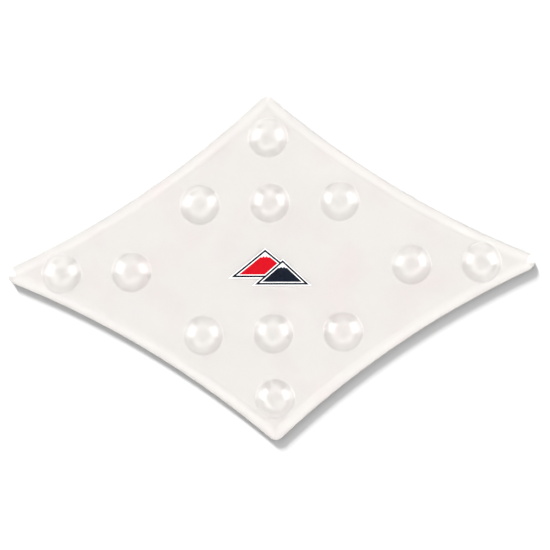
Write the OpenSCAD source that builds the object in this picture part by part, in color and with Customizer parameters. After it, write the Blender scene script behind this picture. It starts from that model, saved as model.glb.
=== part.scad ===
// Snowboard stomp pad: a clear moulded sheet with twelve studs, a printed badge set in its
// deck, an adhesive film, and a release liner in two halves.
// X runs between the two long tips, Y between the two short tips, and Z is up.
// The origin is the centre of the liner's underside, where the pad lies on a surface.

/* [Outline] */
// Centre to the point where two side arcs would cross, along X
corner_x = 79.5; // [74:0.5:85]
// Centre to the point where two side arcs would cross, along Y
corner_y = 50; // [47:0.1:54]
// How far each side bows inwards from a straight line
side_bow = 4.1; // [3:0.1:5.5]
// Radius of the four rounded tips
tip_r = 2.6; // [2:0.1:3]

/* [Sheet] */
// Thickness of the clear sheet inside its bevel
sheet_t = 2.4; // [2:0.1:3]
// Height of the sheet's upright edge, below the bevel
edge_t = 0.9; // [0.6:0.1:1.4]
// Width of the bevel round the rim
bevel_w = 3.6; // [3.2:0.1:4.2]

/* [Studs] */
// Spacing of the studs along X
stud_pitch_x = 20; // [17:0.5:20]
// Spacing of the stud rows along Y
stud_pitch_y = 18.66; // [17:0.02:19]
// Diameter of a stud where it meets the sheet
stud_d = 11.2; // [9:0.2:11.6]
// Height of a stud over the sheet
stud_h = 3.4; // [3:0.2:5]

/* [Badge] */
// How far the badge's centre lies from the pad's, along X
badge_x = -0.4; // [-1:0.1:1]
// How far the badge's centre lies from the pad's, along Y
badge_y = 0.4; // [-1:0.1:1]
// Turn of the badge against the pad's long axis
badge_turn = -1.5; // [-3:0.5:3]
// Width of the dark line round each peak
border_w = 0.5; // [0.4:0.05:0.6]
// White gap between that line and the peak inside it
keyline_w = 0.3; // [0.2:0.05:0.4]
// White margin outside the lines
halo_w = 0.3; // [0.2:0.05:0.4]
// Thickness of the badge's white film
film_t = 0.15; // [0.12:0.01:0.2]
// Depth of the pocket in the deck that the film lies in
pocket_depth = 0.1; // [0.05:0.01:0.1]
// Thickness of the ink on the film
ink_t = 0.05; // [0.03:0.01:0.08]

/* [Backing] */
// Thickness of the adhesive film
adhesive_t = 0.3; // [0.15:0.05:0.5]
// Thickness of the release liner
liner_t = 0.15; // [0.1:0.01:0.2]
// How far the adhesive and the liner stop short of the sheet's edge
backing_inset = 0.3; // [0.2:0.1:1.4]
// Gap along the slit between the liner's two halves
slit_w = 0.3; // [0.2:0.05:0.5]

/* [Hidden] */
round_fn = 64;
arc_fn = 256; // for the side arcs, which are long and bend only slightly
clear = 1; // how far a cutter runs past the faces it cuts

// Levels, from the surface up
adhesive_z = liner_t;
sheet_z = adhesive_z + adhesive_t;
deck_z = sheet_z + sheet_t;
film_z = deck_z - pocket_depth;
ink_z = film_z + film_t;

// Each side is an arc about a centre outside the pad: this one is the first quadrant's
chord = norm([corner_x, corner_y]);
side_r = chord * chord / (8 * side_bow) + side_bow / 2;
side_c = [corner_x, corner_y] / 2 + [corner_y, corner_x] / chord * (side_r - side_bow);

// A tip's round is centred on the axis, where a circle of tip_r would touch both side arcs.
// The round is drawn a little larger than that, so that it crosses the arcs at a clean angle.
reach = side_r + tip_r;
long_tip = side_c.x - sqrt(reach * reach - side_c.y * side_c.y);
short_tip = side_c.y - sqrt(reach * reach - side_c.x * side_c.x);
long_turn = atan2(side_c.y, side_c.x - long_tip);
short_turn = atan2(side_c.y - short_tip, side_c.x);
round_r = tip_r + 0.08;

// The stud rows, counted from the middle one, and how far each reaches from the centre
row_reach = [3, 1, 0];
badge_reach = 1; // the middle row stays clear for the badge this far from the centre
stud_places = [
    for (row = [-2 : 2], col = [-3 : 3])
        if (abs(col) <= row_reach[abs(row)] && (row != 0 || abs(col) > badge_reach))
            [col * stud_pitch_x, row * stud_pitch_y]
];
stud_r = stud_d / 2;
ball_r = (stud_r * stud_r + stud_h * stud_h) / (2 * stud_h);
stud_root = 0.8; // how deep a stud's ball runs on into the sheet

// The badge's peaks, each a triangle from its left foot over the summit to its right foot
back_peak = [[-11.1, -2.9], [-1.4, 5], [8.3, -2.9]];
front_peak = [[-4.4, -5], [3.6, 2], [11.1, -5]];
// The snow line: its drop below the summit, the size of its teeth, and its reach each side
snow_drop = 0.8;
snow_tooth = 0.4;
snow_reach = 4;

// A triangle whose sides have all moved inwards by d, which is a scaling about its incentre
function inset_triangle(p, d) =
    let (
        a = norm(p[1] - p[2]),
        b = norm(p[2] - p[0]),
        c = norm(p[0] - p[1]),
        incentre = (a * p[0] + b * p[1] + c * p[2]) / (a + b + c),
        area = abs(cross(p[1] - p[0], p[2] - p[0])) / 2,
        inradius = 2 * area / (a + b + c)
    )
    [for (v = p) incentre + (v - incentre) * (1 - d / inradius)];

// The children, repeated at the arc centre of every side
module at_sides() {
    for (x = [-1, 1], y = [-1, 1]) translate([x * side_c.x, y * side_c.y]) children();
}

// A section, swept about the centre of each tip's round through the angle that the round spans
module at_tips() {
    for (s = [0, 180]) {
        rotate(s) translate([long_tip, 0]) rotate(-long_turn)
            rotate_extrude(angle = 2 * long_turn, $fn = round_fn) children();
        rotate(s) translate([0, short_tip]) rotate(short_turn)
            rotate_extrude(angle = 180 - 2 * short_turn, $fn = round_fn) children();
    }
}

// A flat plate with the pad's outline, stepped in from its edge
module plate(inset, thickness) {
    difference() {
        linear_extrude(thickness)
            polygon([[corner_x, 0], [0, corner_y], [-corner_x, 0], [0, -corner_y]]);
        at_sides() translate([0, 0, -clear])
            cylinder(r = side_r + inset, h = thickness + 2 * clear, $fn = arc_fn);
        at_tips() translate([round_r - inset, -clear])
            square([corner_x - long_tip, thickness + 2 * clear]);
    }
}

// The bare sheet: an upright edge, then a bevel that climbs to the deck
module bevelled_sheet() {
    slope = (sheet_t - edge_t) / bevel_w;
    low = edge_t - slope * clear;
    high = sheet_t + slope * clear;
    difference() {
        plate(0, sheet_t);
        at_sides() rotate_extrude($fn = arc_fn) polygon([
            [side_r - clear, low],
            [side_r + bevel_w + clear, high],
            [side_r - clear, high],
        ]);
        at_tips() polygon([
            [round_r + clear, low],
            [round_r + clear, high],
            [0, high],
            [0, edge_t + slope * round_r],
        ]);
    }
}

// One stud: a ball that rises over Z 0 as a cap, with a root below it
module stud() {
    rotate_extrude($fn = round_fn) intersection() {
        translate([0, stud_h - ball_r]) circle(r = ball_r, $fn = 2 * round_fn);
        translate([0, -stud_root]) square([ball_r, stud_root + stud_h]);
    }
}

// What lies above the snow line of a peak, whose lower edge has teeth
module snow(peak) {
    summit = peak[1];
    line = summit.y - snow_drop;
    polygon([
        [summit.x - snow_reach, line],
        for (tooth = [-2 : 2])
            [summit.x + tooth * snow_tooth, abs(tooth) == 1 ? line : line - snow_tooth],
        [summit.x + snow_reach, line],
        [summit.x + snow_reach, summit.y + clear],
        [summit.x - snow_reach, summit.y + clear],
    ]);
}

module peak_fill(peak) {
    inner = inset_triangle(peak, border_w + keyline_w);
    difference() {
        polygon(inner);
        snow(inner);
    }
}

module peak_border(peak) {
    difference() {
        polygon(peak);
        polygon(inset_triangle(peak, border_w));
    }
}

module film_outline() {
    polygon(inset_triangle(back_peak, -halo_w));
    polygon(inset_triangle(front_peak, -halo_w));
}

// Makes a flat shape of the badge into a layer that starts at level z
module badge_layer(z, thickness) {
    translate([badge_x, badge_y, z]) rotate(badge_turn) linear_extrude(thickness) children();
}

// One half of the liner: sign is -1 for the left one and 1 for the right one
module liner_half(sign) {
    intersection() {
        plate(backing_inset, liner_t);
        translate([sign * (corner_x + slit_w) / 2, 0, liner_t / 2])
            cube([corner_x, 2 * corner_y, liner_t + 2 * clear], center = true);
    }
}

module stud_sheet() {
    color("whitesmoke", 0.5) {
        difference() {
            translate([0, 0, sheet_z]) bevelled_sheet();
            badge_layer(film_z, pocket_depth + clear) film_outline();
        }
        for (place = stud_places) translate([place.x, place.y, deck_z]) stud();
    }
}

module badge_film() {
    color("white") badge_layer(film_z, film_t) film_outline();
}

module badge_border() {
    color("midnightblue") badge_layer(ink_z, ink_t) {
        peak_border(front_peak);
        difference() {
            peak_border(back_peak);
            polygon(front_peak);
        }
    }
}

module badge_back_peak() {
    color("crimson") badge_layer(ink_z, ink_t) difference() {
        peak_fill(back_peak);
        polygon(inset_triangle(front_peak, -keyline_w));
    }
}

module badge_front_peak() {
    color("midnightblue") badge_layer(ink_z, ink_t) peak_fill(front_peak);
}

module adhesive_film() {
    color("gainsboro", 0.6) translate([0, 0, adhesive_z]) plate(backing_inset, adhesive_t);
}

module liner_left() {
    color("white") liner_half(-1);
}

module liner_right() {
    color("white") liner_half(1);
}

stud_sheet();
badge_film();
badge_border();
badge_back_peak();
badge_front_peak();
adhesive_film();
liner_left();
liner_right();
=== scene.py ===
import math

import bpy
import numpy as np
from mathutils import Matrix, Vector
from mathutils.geometry import delaunay_2d_cdt


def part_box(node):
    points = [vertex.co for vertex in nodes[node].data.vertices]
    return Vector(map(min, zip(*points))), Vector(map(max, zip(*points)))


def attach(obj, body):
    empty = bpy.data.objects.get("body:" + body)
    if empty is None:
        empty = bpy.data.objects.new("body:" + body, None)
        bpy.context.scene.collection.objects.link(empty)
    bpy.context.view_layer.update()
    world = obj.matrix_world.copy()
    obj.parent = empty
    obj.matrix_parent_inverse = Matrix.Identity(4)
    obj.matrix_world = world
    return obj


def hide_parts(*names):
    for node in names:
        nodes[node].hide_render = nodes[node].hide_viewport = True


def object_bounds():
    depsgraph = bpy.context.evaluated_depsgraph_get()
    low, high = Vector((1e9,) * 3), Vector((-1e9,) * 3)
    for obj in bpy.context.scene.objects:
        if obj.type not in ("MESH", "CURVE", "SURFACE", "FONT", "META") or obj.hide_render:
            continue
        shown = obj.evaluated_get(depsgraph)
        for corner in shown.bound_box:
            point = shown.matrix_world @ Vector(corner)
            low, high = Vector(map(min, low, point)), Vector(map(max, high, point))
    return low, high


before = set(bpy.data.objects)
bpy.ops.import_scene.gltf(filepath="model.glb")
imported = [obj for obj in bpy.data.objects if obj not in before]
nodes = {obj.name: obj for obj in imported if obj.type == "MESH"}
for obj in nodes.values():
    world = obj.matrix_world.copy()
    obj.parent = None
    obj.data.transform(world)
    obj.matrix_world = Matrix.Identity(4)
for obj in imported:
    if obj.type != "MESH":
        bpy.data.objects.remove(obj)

mm = 0.001
tinyStep = 1e-6  # a small step along the surface, for slopes
tolerance = 1e-9
cadLow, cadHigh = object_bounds()
sheetLow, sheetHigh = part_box("stud_sheet")
print("frame loaded:", len(nodes), "nodes")

# The plan of the pad: four side arcs that bow inwards, and a round on each tip.
plan = {
    "cornerX": 79.5 * mm,  # where two side arcs would cross, on the long axis
    "cornerY": 50 * mm,  # and on the short axis
    "bow": 4.1 * mm,
    "tipRadius": 2.6 * mm,
    "step": 0.8 * mm,  # distance between points along a side
    "tipSteps": 10,  # points round half a tip
}

chord = math.hypot(plan["cornerX"], plan["cornerY"])
sideRadius = chord**2 / (8 * plan["bow"]) + plan["bow"] / 2
sideX = plan["cornerX"] / 2 + plan["cornerY"] / chord * (sideRadius - plan["bow"])
sideY = plan["cornerY"] / 2 + plan["cornerX"] / chord * (sideRadius - plan["bow"])
tipReach = sideRadius + plan["tipRadius"]
longTipX = sideX - math.sqrt(tipReach**2 - sideY**2)
shortTipY = sideY - math.sqrt(tipReach**2 - sideX**2)
longTurn = math.atan2(sideY, sideX - longTipX)
shortTurn = math.atan2(sideY - shortTipY, sideX)


def arcPoints(centre, radius, start, end, steps):
    turn = np.linspace(start, end, steps + 1)
    return np.column_stack([centre[0] + radius * np.cos(turn), centre[1] + radius * np.sin(turn)])


def outlineLoop(inset):
    # One closed loop, stepped in from the pad's edge, with the same number of points each time
    tipRound = max(plan["tipRadius"] - inset, 0)
    radius = sideRadius + inset
    if tipRound > 0:
        start = (longTipX + tipRound * math.cos(longTurn), tipRound * math.sin(longTurn))
        end = (tipRound * math.cos(shortTurn), shortTipY + tipRound * math.sin(shortTurn))
        longRound = arcPoints((longTipX, 0), tipRound, 0, longTurn, plan["tipSteps"])
        shortRound = arcPoints((0, shortTipY), tipRound, shortTurn, math.pi / 2, plan["tipSteps"])
    else:
        start = (sideX - math.sqrt(radius**2 - sideY**2), 0)
        end = (0, sideY - math.sqrt(radius**2 - sideX**2))
        longRound = np.repeat([start], plan["tipSteps"] + 1, axis=0)
        shortRound = np.repeat([end], plan["tipSteps"] + 1, axis=0)
    first = math.atan2(start[1] - sideY, start[0] - sideX)
    last = math.atan2(end[1] - sideY, end[0] - sideX)
    side = arcPoints((sideX, sideY), radius, first, last, int(chord / plan["step"]))
    quarter = np.vstack([longRound[:-1], side, shortRound[1:]])
    mirrored = quarter[::-1] * (-1, 1)
    half = np.vstack([quarter, mirrored[1:]])
    return np.vstack([half, -half[1:-1]])


def edgeDistance(points):
    # How far points lie inside the pad's outline
    x, y = np.abs(points[:, 0]), np.abs(points[:, 1])
    inside = np.hypot(x - sideX, y - sideY) - sideRadius
    tips = (((longTipX, 0), (0, longTurn)), ((0, shortTipY), (shortTurn, math.pi / 2)))
    for centre, turn in tips:
        angle = np.arctan2(y - centre[1], x - centre[0])
        rounded = (angle >= turn[0] - tolerance) & (angle <= turn[1] + tolerance)
        near = plan["tipRadius"] - np.hypot(x - centre[0], y - centre[1])
        inside = np.where(rounded, near, inside)
    return inside


# The moulded sheet, in section: an upright edge with a rounded lip, a bevel, and the deck.
sheet = {
    "edgeHeight": 0.9 * mm,
    "bevelWidth": 3.6 * mm,
    "footRound": 0.15 * mm,
    "lipRound": 0.35 * mm,
    "crown": 1.6,  # 1 is a straight bevel, 2 is rounded all the way to the deck
    "wallSteps": 5,
    "bevelLoops": (0.5, 0.9, 1.4, 2, 2.6),  # mm in from the edge
    "shoulderLoops": (-0.6, -0.3, 0, 0.3, 0.6, 1.2),  # mm from where the deck begins
}
studs = {
    "pitchX": 20 * mm,
    "pitchY": 18.66 * mm,
    "diameter": 11.2 * mm,
    "height": 3.4 * mm,
    "blend": 0.8 * mm,  # how softly a stud's foot turns into the deck
    "footReach": 6.6 * mm,
    "clearance": 0.2 * mm,  # between a stud's rings and the sheet's own loops
    "rows": (3, 1, 0),  # studs on each side of the centre, from the middle row outwards
    "badgeGap": 1,  # the middle row stays clear for the badge this far out
    "sides": 96,
    "ballRings": 22,
    "ballShare": 0.97,  # how much of the ball's width those rings cover
    "footRings": 9,
}
deckZ = sheetHigh.z - studs["height"]
sheetThickness = deckZ - sheetLow.z
slope = math.atan2((sheetThickness - sheet["edgeHeight"]) * sheet["crown"], sheet["bevelWidth"])
ballRadius = (studs["diameter"] ** 2 / 4 + studs["height"] ** 2) / (2 * studs["height"])
ballZ = sheetHigh.z - ballRadius
studPlaces = [
    (column * studs["pitchX"], row * studs["pitchY"])
    for row in range(-2, 3)
    for column in range(-3, 4)
    if abs(column) <= studs["rows"][abs(row)] and (row != 0 or abs(column) > studs["badgeGap"])
]


def smoothMin(a, b, blend):
    part = np.maximum(blend - np.abs(a - b), 0) / blend
    return np.minimum(a, b) - part**3 * blend / 6


def bevelHeight(inset):
    left = np.clip(1 - inset / sheet["bevelWidth"], 0, None)
    return deckZ - (sheetThickness - sheet["edgeHeight"]) * left ** sheet["crown"]


def topHeight(points):
    # The sheet's upper surface, studs and all
    height = bevelHeight(edgeDistance(points))
    for place in studPlaces:
        away = np.hypot(points[:, 0] - place[0], points[:, 1] - place[1])
        dome = ballZ + np.sqrt(np.maximum(ballRadius**2 - away**2, 0))
        lifted = -smoothMin(-height, -dome, studs["blend"])
        height = np.where(away < studs["footReach"], lifted, height)
    return height


def edgeProfile():
    # From the underside out round the foot, up the wall and over the lip: inset, height, and
    # the direction each point faces as (outwards, up)
    foot, lip = sheet["footRound"], sheet["lipRound"]
    lipZ = sheetLow.z + sheet["edgeHeight"] + lip * math.tan(slope) - lip / math.cos(slope)
    profile = []
    for turn in np.linspace(-math.pi / 2, 0, sheet["wallSteps"]):
        facing = (math.cos(turn), math.sin(turn))
        profile.append((foot - foot * facing[0], sheetLow.z + foot + foot * facing[1], facing))
    for turn in np.linspace(0, math.pi / 2 - slope, sheet["wallSteps"]):
        facing = (math.cos(turn), math.sin(turn))
        profile.append((lip - lip * facing[0], lipZ + lip * facing[1], facing))
    return profile


def levelLoop(loop, height):
    return np.column_stack([loop, np.full(len(loop), height)])


def wallFaces(around, levels):
    # Four-sided faces between loops of this many points, stacked in this many levels
    faces = []
    for level in range(levels):
        for i in range(around):
            a, b = level * around + i, level * around + (i + 1) % around
            faces.append((a, b, b + around, a + around))
    return faces


def fillFlat(points, outer, chains=()):
    # Triangles over the area inside the first points, which form its edge, facing up
    flat = [Vector(p) for p in points]
    edges = [(i, (i + 1) % outer) for i in range(outer)] + list(chains)
    insideOnly = 1
    made = delaunay_2d_cdt(flat, edges, [], insideOnly, tolerance)
    if len(made[0]) != len(points):
        raise ValueError("the fill changed the points")
    spots = np.array([tuple(p) for p in made[0]])
    source = [origin[0] for origin in made[3]]
    faces = []
    for a, b, c in made[2]:
        ab, ac = spots[b] - spots[a], spots[c] - spots[a]
        facesUp = ab[0] * ac[1] - ab[1] * ac[0] > 0
        corners = (a, b, c) if facesUp else (a, c, b)
        faces.append(tuple(source[i] for i in corners))
    return faces


def meshObject(name, points, faces, material=None):
    mesh = bpy.data.meshes.new(name)
    mesh.from_pydata([tuple(p) for p in points], [], [tuple(int(i) for i in f) for f in faces])
    mesh.shade_smooth()
    made = bpy.data.objects.new(name, mesh)
    bpy.context.scene.collection.objects.link(made)
    if material:
        mesh.materials.append(material)
    return made


def studRings():
    # Rings round each stud place, closer together where the stud's side is steep
    ballTurn = math.asin(studs["ballShare"] * studs["diameter"] / 2 / ballRadius)
    onBall = ballRadius * np.sin(np.linspace(0, ballTurn, studs["ballRings"]))[1:]
    onFoot = np.linspace(onBall[-1], studs["footReach"], studs["footRings"])[1:]
    rings = []
    for place in studPlaces:
        rings.append(np.array([place]))
        for radius in np.concatenate([onBall, onFoot]):
            rings.append(arcPoints(place, radius, 0, 2 * math.pi, studs["sides"])[:-1])
    return rings


def deckLoop(inset, count):
    # The points of one loop that are clear of the studs, and the edges between them, where
    # count is how many points come before the loop
    tooClose = 1e-7
    loop = outlineLoop(inset)
    keep = np.ones(len(loop), bool)
    for place in studPlaces:
        keep &= np.hypot(*(loop - place).T) > studs["footReach"] + studs["clearance"]
    keep &= np.hypot(*(loop - np.roll(loop, 1, axis=0)).T) > tooClose
    index = np.full(len(loop), -1)
    index[keep] = count + np.arange(keep.sum())
    chain = [(int(index[i]), int(index[i - 1])) for i in range(len(loop))
             if index[i] >= 0 and index[i - 1] >= 0]
    return loop[keep], chain


def bevelledSheet():
    # The sheet without its studs, but with the rings of points that they will be raised from
    walls = [levelLoop(outlineLoop(inset), height) for inset, height, facing in edgeProfile()]
    lip = walls.pop()
    around = len(lip)
    points, chains = [lip[:, :2]], []
    count = around
    insets = [inset * mm for inset in sheet["bevelLoops"]]
    insets += [sheet["bevelWidth"] + offset * mm for offset in sheet["shoulderLoops"]]
    for inset in insets:
        loop, chain = deckLoop(inset, count)
        points.append(loop)
        chains += chain
        count += len(loop)
    for ring in studRings():
        points.append(ring)
        if len(ring) > 1:
            chains += [(count + i, count + (i + 1) % len(ring)) for i in range(len(ring))]
        count += len(ring)
    flat = np.vstack(points)
    height = bevelHeight(edgeDistance(flat))
    height[:around] = lip[:, 2]
    verts = np.vstack(walls + [np.column_stack([flat, height])])
    below = len(walls) * around
    faces = [tuple(i + below for i in face) for face in fillFlat(flat, around, chains)]
    faces += wallFaces(around, len(walls))
    faces += [face[::-1] for face in fillFlat(walls[0][:, :2], around)]
    return verts, faces


def studTree():
    # Geometry Nodes that lift a flat sheet into a ball cap round each place
    tree = bpy.data.node_groups.new("raiseStuds", "GeometryNodeTree")
    tree.interface.new_socket("Geometry", in_out="OUTPUT", socket_type="NodeSocketGeometry")
    tree.interface.new_socket("Geometry", in_out="INPUT", socket_type="NodeSocketGeometry")
    sockets = {}
    for name, kind in (("Places", "Object"), ("Ball Radius", "Float"), ("Ball Level", "Float"),
                       ("Foot Reach", "Float"), ("Foot Blend", "Float"), ("Material", "Material")):
        socket = tree.interface.new_socket(name, in_out="INPUT", socket_type="NodeSocket" + kind)
        sockets[name] = socket.identifier
    add, link = tree.nodes.new, tree.links.new

    def calculate(operation, *values):
        node = add("ShaderNodeMath")
        node.operation = operation
        for socket, value in zip(node.inputs, values):
            if isinstance(value, (int, float)):
                socket.default_value = value
            else:
                link(value, socket)
        return node.outputs[0]

    inlet, outlet = add("NodeGroupInput"), add("NodeGroupOutput")
    places = add("GeometryNodeObjectInfo")
    link(inlet.outputs["Places"], places.inputs["Object"])
    position, parts = add("GeometryNodeInputPosition"), add("ShaderNodeSeparateXYZ")
    link(position.outputs[0], parts.inputs[0])

    # How far each point lies from the nearest stud's centre, seen from above
    level = add("ShaderNodeCombineXYZ")
    link(parts.outputs["X"], level.inputs["X"])
    link(parts.outputs["Y"], level.inputs["Y"])
    nearest = add("GeometryNodeProximity")
    nearest.target_element = "POINTS"
    link(places.outputs["Geometry"], nearest.inputs[0])
    link(level.outputs[0], nearest.inputs["Sample Position"])
    away = nearest.outputs["Distance"]

    # The ball's height there, blended with the deck's own
    radius = inlet.outputs["Ball Radius"]
    ballSquare = calculate("MULTIPLY", radius, radius)
    capSquare = calculate("SUBTRACT", ballSquare, calculate("MULTIPLY", away, away))
    cap = calculate("SQRT", calculate("MAXIMUM", capSquare, 0.0))
    dome = calculate("ADD", cap, inlet.outputs["Ball Level"])
    raised = calculate("SMOOTH_MAX", parts.outputs["Z"], dome, inlet.outputs["Foot Blend"])
    near = calculate("LESS_THAN", away, inlet.outputs["Foot Reach"])
    lifted = add("ShaderNodeCombineXYZ")
    link(parts.outputs["X"], lifted.inputs["X"])
    link(parts.outputs["Y"], lifted.inputs["Y"])
    link(raised, lifted.inputs["Z"])
    move = add("GeometryNodeSetPosition")
    link(inlet.outputs["Geometry"], move.inputs["Geometry"])
    link(near, move.inputs["Selection"])
    link(lifted.outputs[0], move.inputs["Position"])

    realize, finish = add("GeometryNodeRealizeInstances"), add("GeometryNodeSetMaterial")
    link(move.outputs[0], realize.inputs[0])
    link(realize.outputs[0], finish.inputs["Geometry"])
    link(inlet.outputs["Material"], finish.inputs["Material"])
    link(finish.outputs[0], outlet.inputs[0])
    return tree, sockets


def raiseStuds(flatSheet, material):
    places = meshObject("studPlaces", [(x, y, 0) for x, y in studPlaces], [])
    tree, sockets = studTree()
    modifier = flatSheet.modifiers.new("raiseStuds", "NODES")
    modifier.node_group = tree
    values = {"Places": places, "Ball Radius": ballRadius, "Ball Level": ballZ,
              "Foot Reach": studs["footReach"], "Foot Blend": studs["blend"], "Material": material}
    for name, value in values.items():
        modifier[sockets[name]] = value
    seen = flatSheet.evaluated_get(bpy.context.evaluated_depsgraph_get())
    raisedSheet = bpy.data.objects.new("studSheet", bpy.data.meshes.new_from_object(seen))
    bpy.context.scene.collection.objects.link(raisedSheet)
    bpy.data.objects.remove(flatSheet)
    bpy.data.objects.remove(places)
    raisedSheet.data.shade_smooth()
    return raisedSheet


def slopeOf(rule, flat):
    # How fast a rule of the plan climbs along X and along Y
    alongX = rule(flat + (tinyStep, 0)) - rule(flat - (tinyStep, 0))
    alongY = rule(flat + (0, tinyStep)) - rule(flat - (0, tinyStep))
    return np.column_stack([alongX, alongY]) / (2 * tinyStep)


def faceByRule(sheetObject):
    # Exact normals, from the section's rule, so that the clear sheet bends light evenly
    mesh = sheetObject.data
    spots = np.empty(len(mesh.vertices) * 3)
    mesh.vertices.foreach_get("co", spots)
    flat = spots.reshape(-1, 3)[:, :2]
    normals = np.column_stack([-slopeOf(topHeight, flat), np.ones(len(flat))])
    around = len(outlineLoop(0))
    inward = slopeOf(edgeDistance, flat[:around])
    for level, (inset, height, facing) in enumerate(edgeProfile()):
        rows = slice(level * around, (level + 1) * around)
        normals[rows, :2] = -inward * facing[0]
        normals[rows, 2] = facing[1]
    normals /= np.linalg.norm(normals, axis=1)[:, None]
    mesh.normals_split_custom_set_from_vertices(normals.tolist())


def newMaterial(name):
    material = bpy.data.materials.new(name)
    material.use_nodes = True
    return material, material.node_tree, material.node_tree.nodes["Principled BSDF"]


def noise(tree, where, size, detail, stretch=(1, 1, 1)):
    # Soft random patches of about this size, from 0 to 1
    mapping = tree.nodes.new("ShaderNodeMapping")
    mapping.inputs["Scale"].default_value = stretch
    tree.links.new(where, mapping.inputs["Vector"])
    node = tree.nodes.new("ShaderNodeTexNoise")
    node.inputs["Scale"].default_value = 1 / size
    node.inputs["Detail"].default_value = detail
    tree.links.new(mapping.outputs[0], node.inputs["Vector"])
    return node.outputs["Fac"]


def mixColour(tree, amount, first, second, between):
    # From the first colour to the second, as the amount passes between the two limits
    ramp = tree.nodes.new("ShaderNodeValToRGB")
    for stop, colour, spot in zip(ramp.color_ramp.elements, (first, second), between):
        stop.color = (*colour, 1)
        stop.position = spot
    tree.links.new(amount, ramp.inputs[0])
    return ramp.outputs[0]


def bump(tree, height, depth):
    node = tree.nodes.new("ShaderNodeBump")
    node.inputs["Distance"].default_value = depth
    tree.links.new(height, node.inputs["Height"])
    return node.outputs[0]


plastic = {
    "milk": (0.985, 0.972, 0.958),
    "blush": (0.985, 0.935, 0.93),  # the faint pink of some patches
    "blushFrom": (0.5, 0.75),  # the part of the patches where it sets in
    "clearness": 0.6,  # the rest of the light is scattered in the surface
    "roughness": 0.12,
    "glossRoughness": 0.06,  # of the moulded skin on top
    "bending": 1.52,  # index of refraction
    "tint": (0.6, 0.4, 0.25),
    "tintDensity": 20,
    "patchSize": 14 * mm,
    "patchDetail": 3,  # layers of finer and finer noise
    "grainSize": 0.9 * mm,
    "grainDetail": 2,
    "grainDepth": 0.006 * mm,
}


def clearPlastic():
    material, tree, shader = newMaterial("clearPolyurethane")
    settings = {"Roughness": plastic["roughness"], "IOR": plastic["bending"],
                "Transmission Weight": plastic["clearness"], "Coat Weight": 1,
                "Coat Roughness": plastic["glossRoughness"], "Coat IOR": plastic["bending"]}
    for socket, value in settings.items():
        shader.inputs[socket].default_value = value
    where = tree.nodes.new("ShaderNodeTexCoord").outputs["Object"]
    patches = noise(tree, where, plastic["patchSize"], plastic["patchDetail"])
    blush = mixColour(tree, patches, plastic["milk"], plastic["blush"], plastic["blushFrom"])
    tree.links.new(blush, shader.inputs["Base Color"])
    grain = noise(tree, where, plastic["grainSize"], plastic["grainDetail"])
    tree.links.new(bump(tree, grain, plastic["grainDepth"]), shader.inputs["Normal"])
    tint = tree.nodes.new("ShaderNodeVolumeAbsorption")
    tint.inputs["Color"].default_value = (*plastic["tint"], 1)
    tint.inputs["Density"].default_value = plastic["tintDensity"]
    tree.links.new(tint.outputs[0], tree.nodes["Material Output"].inputs["Volume"])
    return material


# The opaque finishes: two near shades that mix in patches, roughness, gloss, a fine relief of
# this grain and depth, and a stretch for both patterns
finishes = {
    "adhesive": {"shades": ((0.93, 0.897, 0.868), (0.93, 0.912, 0.885)), "rough": (0.45, 0.6),
                 "gloss": 0.5, "patch": 9 * mm, "grain": 0.7 * mm, "depth": 0.01 * mm,
                 "stretch": (1, 1, 1)},
    "linerPaper": {"shades": ((0.86, 0.86, 0.85), (0.78, 0.785, 0.78)), "rough": (0.3, 0.5),
                   "gloss": 0.5, "patch": 1.6 * mm, "grain": 0.35 * mm, "depth": 0.02 * mm,
                   "stretch": (0.25, 1, 1)},
    "labelWhite": {"shades": ((0.93, 0.93, 0.93), (0.88, 0.88, 0.885)), "rough": (0.3, 0.42),
                   "gloss": 0.5, "patch": 1.2 * mm, "grain": 0.12 * mm, "depth": 0.003 * mm,
                   "stretch": (1, 1, 1)},
    "inkNavy": {"shades": ((0.002, 0.004, 0.012), (0.006, 0.01, 0.02)), "rough": (0.5, 0.65),
                "gloss": 0.12, "patch": 0.8 * mm, "grain": 0.1 * mm, "depth": 0.004 * mm,
                "stretch": (1, 1, 1)},
    "inkRed": {"shades": ((0.58, 0.001, 0.01), (0.52, 0.001, 0.008)), "rough": (0.5, 0.65),
               "gloss": 0.12, "patch": 0.8 * mm, "grain": 0.1 * mm, "depth": 0.004 * mm,
               "stretch": (1, 1, 1)},
    "paleFloor": {"shades": ((0.64, 0.64, 0.64), (0.63, 0.63, 0.63)), "rough": (0.85, 0.95),
                  "gloss": 0.2, "patch": 60 * mm, "grain": 2 * mm, "depth": 0.01 * mm,
                  "stretch": (1, 1, 1)},
}
shadesBetween = (0.35, 0.65)  # the part of the patches where the two shades mix
noiseDetail = {"patch": 4, "grain": 2}


def opaque(name):
    finish = finishes[name]
    material, tree, shader = newMaterial(name)
    where = tree.nodes.new("ShaderNodeTexCoord").outputs["Object"]
    patches = noise(tree, where, finish["patch"], noiseDetail["patch"], finish["stretch"])
    grain = noise(tree, where, finish["grain"], noiseDetail["grain"], finish["stretch"])
    shade = mixColour(tree, patches, *finish["shades"], shadesBetween)
    tree.links.new(shade, shader.inputs["Base Color"])
    rough = tree.nodes.new("ShaderNodeMapRange")
    rough.inputs["To Min"].default_value, rough.inputs["To Max"].default_value = finish["rough"]
    tree.links.new(grain, rough.inputs["Value"])
    tree.links.new(rough.outputs[0], shader.inputs["Roughness"])
    tree.links.new(bump(tree, grain, finish["depth"]), shader.inputs["Normal"])
    shader.inputs["Specular IOR Level"].default_value = finish["gloss"]
    return material


clear = clearPlastic()
flatSheet = meshObject("flatSheet", *bevelledSheet())
print("flat sheet:", len(flatSheet.data.polygons), "faces")
studSheet = raiseStuds(flatSheet, clear)
faceByRule(studSheet)
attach(studSheet, "pad")
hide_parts("stud_sheet")
print("studs raised:", len(studPlaces), "on", len(studSheet.data.polygons), "faces")

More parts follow.
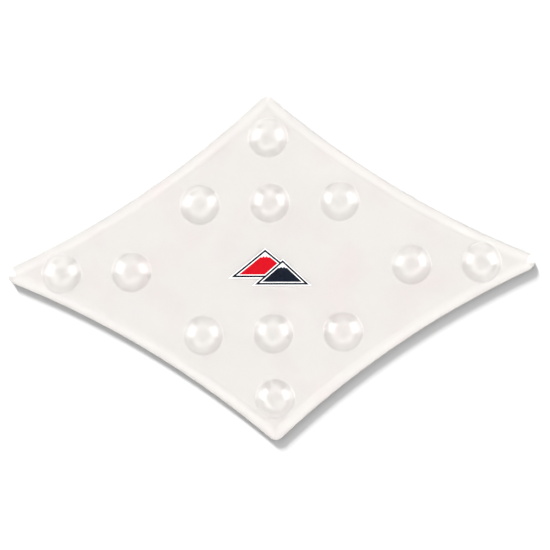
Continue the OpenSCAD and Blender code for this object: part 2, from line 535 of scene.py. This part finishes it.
# The adhesive film, a hair thinner than its place, so that it shares no face with the sheet
film = {
    "inset": 0.3 * mm,  # how far it stops short of the sheet's edge
    "gap": 0.005 * mm,
}


def filmPiece(name, low, high, material):
    loop = outlineLoop(film["inset"])
    around = len(loop)
    verts = np.vstack([levelLoop(loop, low), levelLoop(loop, high)])
    cap = fillFlat(loop, around)
    faces = [face[::-1] for face in cap] + [tuple(i + around for i in face) for face in cap]
    made = meshObject(name, verts, faces + wallFaces(around, 1), material)
    made.data.shade_flat()
    return made


adhesiveLow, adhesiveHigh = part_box("adhesive_film")
adhesive = filmPiece("adhesiveFilm", adhesiveLow.z + film["gap"], adhesiveHigh.z - film["gap"],
                     opaque("adhesive"))
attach(adhesive, "pad")
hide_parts("adhesive_film")
print("adhesive film:", len(adhesive.data.polygons), "faces")

# The badge and the liner keep their own shapes, and take a finish each
nodeFinish = {"badge_film": "labelWhite", "badge_border": "inkNavy", "badge_front_peak": "inkNavy",
              "badge_back_peak": "inkRed", "liner_left": "linerPaper", "liner_right": "linerPaper"}
nodeMaterials = {name: opaque(name) for name in sorted(set(nodeFinish.values()))}
for name, finish in nodeFinish.items():
    nodes[name].data.materials.clear()
    nodes[name].data.materials.append(nodeMaterials[finish])
print("badge and liner finished:", len(nodeFinish), "nodes")

floor = {
    "reach": 20,  # metres each way
    "drop": 0.01 * mm,  # how far it lies under the liner
}
corners = [(x * floor["reach"], y * floor["reach"], cadLow.z - floor["drop"])
           for x, y in ((-1, -1), (1, -1), (1, 1), (-1, 1))]
floorSheet = meshObject("floor", corners, [(0, 1, 2, 3)], opaque("paleFloor"))

# The camera looks straight down, turned a little so that the pad lies as it was laid.
view = {
    "width": 157.1 * mm,  # what the frame spans at the deck
    "lens": 135,
    "sensor": 36,
    "roll": -1.55,  # degrees
    "aim": (1.0 * mm, -1.86 * mm),  # across and up the frame, from the pad's centre
    "clipStart": 0.01,
}
camera = bpy.data.objects.new("camera", bpy.data.cameras.new("camera"))
bpy.context.scene.collection.objects.link(camera)
bpy.context.scene.camera = camera
camera.data.lens = view["lens"]
camera.data.sensor_width = view["sensor"]
camera.data.clip_start = view["clipStart"]
roll = math.radians(view["roll"])
aimX = view["aim"][0] * math.cos(roll) - view["aim"][1] * math.sin(roll)
aimY = view["aim"][0] * math.sin(roll) + view["aim"][1] * math.cos(roll)
camera.location = (aimX, aimY, deckZ + view["width"] * view["lens"] / view["sensor"])
camera.rotation_euler = (0, 0, roll)
print("floor and camera set")

# The studio: a tent that is brightest half way up, a bank of light in front, and boxes and spots
# that only show as gloss.
tent = {
    # Height in the tent (sine of the elevation), and how bright it is there
    "levels": ((0.0, 0.1), (0.35, 0.15), (0.54, 1.7), (0.7, 1.7), (0.86, 0.2), (1.0, 0.1)),
    "colour": (1, 1, 1),
}
lamps = {
    # Turn from the top of the view, rise over the floor, width and height (m), and brightness
    "frontBank": {"turn": 180, "rise": 48, "size": (1.4, 0.7), "radiance": 0.15, "shows": "through"},
    "sideBoxLeft": {"turn": -70, "rise": 18, "size": (0.9, 0.8), "radiance": 3.6, "shows": "gloss"},
    "sideBoxRight": {"turn": 70, "rise": 18, "size": (0.9, 0.8), "radiance": 3.6, "shows": "gloss"},
    "backBox": {"turn": 0, "rise": 15, "size": (0.7, 0.42), "radiance": 1.2, "shows": "gloss"},
    "spotLeft": {"turn": -133, "rise": 64, "size": (0.14, 0.14), "radiance": 1.6, "shows": "gloss"},
    "spotRight": {"turn": 145, "rise": 64, "size": (0.14, 0.14), "radiance": 2.2, "shows": "gloss"},
}
lampDistance = 1.0
# One low sun is for the floor alone, for the pad's soft shadow, and a high one for the film
floorKey = {"strength": 24.5, "turn": -28, "rise": 6.8, "softness": 5}
filmKey = {"strength": 1.93, "turn": 180, "rise": 88, "softness": 30}


def direction(turn, rise):
    # Turn is counted from the top of the view, rise from the floor
    turn, rise = math.radians(turn) - roll, math.radians(rise)
    return Vector((math.sin(turn) * math.cos(rise), math.cos(turn) * math.cos(rise), math.sin(rise)))


def aimAtPad(light, away):
    light.rotation_euler = (-away).to_track_quat("-Z", "Y").to_euler()


def lightTent():
    world = bpy.data.worlds.new("studio")
    bpy.context.scene.world = world
    world.use_nodes = True
    tree = world.node_tree
    background = tree.nodes["Background"]
    coordinates = tree.nodes.new("ShaderNodeTexCoord")
    height = tree.nodes.new("ShaderNodeSeparateXYZ")
    ramp = tree.nodes.new("ShaderNodeFloatCurve")
    curve = ramp.mapping.curves[0]
    brightest = max(level for spot, level in tent["levels"])
    for i, (spot, level) in enumerate(tent["levels"]):
        if i < 2:  # a new curve has two points of its own
            point = curve.points[i]
            point.location = (spot, level / brightest)
        else:
            point = curve.points.new(spot, level / brightest)
        point.handle_type = "AUTO_CLAMPED"
    ramp.mapping.update()
    scale = tree.nodes.new("ShaderNodeMath")
    scale.operation = "MULTIPLY"
    scale.inputs[1].default_value = brightest
    tree.links.new(coordinates.outputs["Generated"], height.inputs[0])
    tree.links.new(height.outputs["Z"], ramp.inputs["Value"])
    tree.links.new(ramp.outputs[0], scale.inputs[0])
    # Seen by the camera itself, the tent is an even pale white
    seen = tree.nodes.new("ShaderNodeMath")
    seen.operation = "MAXIMUM"
    tree.links.new(scale.outputs[0], seen.inputs[0])
    tree.links.new(tree.nodes.new("ShaderNodeLightPath").outputs["Is Camera Ray"], seen.inputs[1])
    tree.links.new(seen.outputs[0], background.inputs["Strength"])
    background.inputs["Color"].default_value = (*tent["colour"], 1)
    # Light that came through the clear sheet would gather inside the domes
    world.cycles_visibility.transmission = False


def lightOnly(light, pieces, shadows=None):
    # The light falls on these pieces only, and only the pieces in shadows stop it
    lit = bpy.data.collections.new(light.name + "Lit")
    for piece in pieces:
        lit.objects.link(piece)
    light.light_linking.receiver_collection = lit
    if shadows:
        stopping = bpy.data.collections.new(light.name + "Stopping")
        for piece in shadows:
            stopping.objects.link(piece)
        light.light_linking.blocker_collection = stopping


def lampBox(name, lamp):
    data = bpy.data.lights.new(name, "AREA")
    data.shape = "RECTANGLE"
    data.size, data.size_y = lamp["size"]
    # An area lamp of this power looks this bright from in front
    data.energy = lamp["radiance"] * math.pi * lamp["size"][0] * lamp["size"][1]
    box = bpy.data.objects.new(name, data)
    bpy.context.scene.collection.objects.link(box)
    away = direction(lamp["turn"], lamp["rise"])
    box.location = away * lampDistance
    aimAtPad(box, away)
    box.visible_diffuse = box.visible_transmission = lamp["shows"] == "through"
    box.visible_glossy = lamp["shows"] == "gloss"
    box.visible_camera = False
    if lamp["shows"] == "through":
        lightOnly(box, [studSheet, adhesive] + list(nodes.values()))


def sunlight(name, values):
    data = bpy.data.lights.new(name, "SUN")
    data.energy = values["strength"]
    data.angle = math.radians(values["softness"])
    sun = bpy.data.objects.new(name, data)
    bpy.context.scene.collection.objects.link(sun)
    aimAtPad(sun, direction(values["turn"], values["rise"]))
    return sun


lightTent()
for name, lamp in lamps.items():
    lampBox(name, lamp)
badges = [piece for name, piece in nodes.items() if name.startswith("badge")]
liners = [piece for name, piece in nodes.items() if name.startswith("liner")]
underSheet = [adhesive] + badges + liners
lightOnly(sunlight("floorKey", floorKey), [floorSheet], underSheet)
topKey = sunlight("filmKey", filmKey)
topKey.visible_glossy = topKey.visible_transmission = False
lightOnly(topKey, [adhesive] + badges + [studSheet], underSheet)
bpy.context.scene.view_settings.view_transform = "Standard"
print("studio lit:", len(lamps), "lamps, two suns and a tent")
